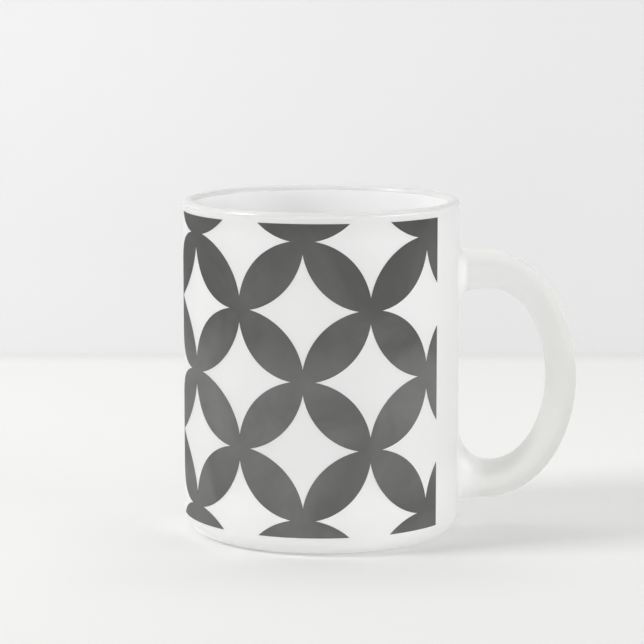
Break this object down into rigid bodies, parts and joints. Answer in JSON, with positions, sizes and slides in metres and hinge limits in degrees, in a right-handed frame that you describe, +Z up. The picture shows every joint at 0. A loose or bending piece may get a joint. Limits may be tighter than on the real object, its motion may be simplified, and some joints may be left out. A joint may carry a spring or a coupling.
{
  "type": "frosted glass mug",
  "caption": "Straight frosted glass mug with a D-shaped handle fused to its wall and a dark petal print round the outside, standing on a flat base.",
  "frame": {"origin": "centre of the flat underside, on the cup's axis", "axes": "+Z up along the cup's axis, +X out through the handle, +Y to the left of someone looking along +X"},
  "size_m": [0.1123, 0.079, 0.095],
  "materials": {
    "cup_glass": "frosted",
    "handle_glass": "frosted",
    "print_ink": "satin printed ink"
  },
  "bodies": {
    "root": {"glass_cup": "cup_glass", "glass_handle": "handle_glass", "print_film": "print_ink"}
  },
  "joints": []
}
